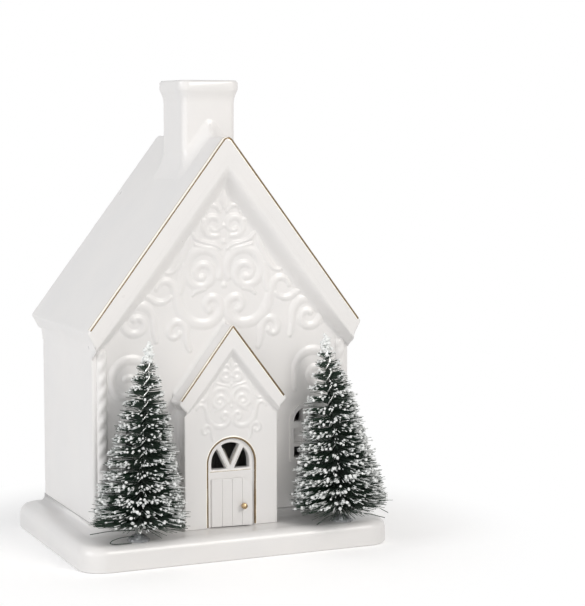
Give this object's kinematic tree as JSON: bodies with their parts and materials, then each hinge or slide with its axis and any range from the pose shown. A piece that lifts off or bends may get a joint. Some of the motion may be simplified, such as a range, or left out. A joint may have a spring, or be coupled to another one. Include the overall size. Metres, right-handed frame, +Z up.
{
  "type": "ceramic christmas village house",
  "caption": "White glazed ceramic house with a steep gabled roof, chimney, arched porch door, bottle-brush trees and a battery light in its base.",
  "frame": {"origin": "on the table under the middle of the whole object's box, trees included", "axes": "+X to the viewer's right when facing the door, -Y out of the front door, +Z up to the chimney"},
  "size_m": [0.1546, 0.135, 0.2213],
  "materials": {
    "porcelain": "white gloss glaze",
    "gilding": "fired gold lustre, thin and bright",
    "tree_wire": "twisted wire",
    "tree_glue": "clear set glue, frosted",
    "tree_fibre": "dark green fibre, snow-flocked tips",
    "box_plastic": "moulded, fine matt",
    "cell_jacket": "plain printed jacket",
    "contact_metal": "nickel-plated",
    "switch_black": "moulded",
    "lamp_lens": "clear warm-white lens, unlit",
    "lead_black": "insulated lead",
    "lead_red": "insulated lead"
  },
  "bodies": {
    "house": {"base": "porcelain", "house_walls": "porcelain", "corner_ropes": "porcelain", "roof": "porcelain", "chimney": "porcelain", "porch_walls": "porcelain", "porch_roof": "porcelain", "door": "porcelain", "door_knob": "gilding", "roof_gilding": "gilding", "porch_gilding": "gilding", "door_gilding": "gilding", "left_tree_stem": "tree_wire", "left_tree_foot": "tree_glue", "left_tree_brush": "tree_fibre", "right_tree_stem": "tree_wire", "right_tree_foot": "tree_glue", "right_tree_brush": "tree_fibre", "battery_box": "box_plastic", "battery_cells": "cell_jacket", "bridge_contact": "contact_metal", "negative_contact": "contact_metal", "positive_contact": "contact_metal", "switch_body": "contact_metal", "lamp_post": "box_plastic", "led_lamp": "lamp_lens", "negative_lead": "lead_black", "positive_lead": "lead_red", "gable_scrolls": "porcelain", "porch_scrolls": "porcelain"},
    "battery_cover": {"battery_cover": "box_plastic"},
    "switch_slider": {"switch_slider": "switch_black"}
  },
  "joints": [
    {"name": "cover_slide", "type": "slide", "parent": "house", "child": "battery_cover", "axis": [-1, 0, 0], "range_m": [0, 0.045]},
    {"name": "switch_slide", "type": "slide", "parent": "house", "child": "switch_slider", "axis": [1, 0, 0], "range_m": [0, 0.0025]}
  ]
}
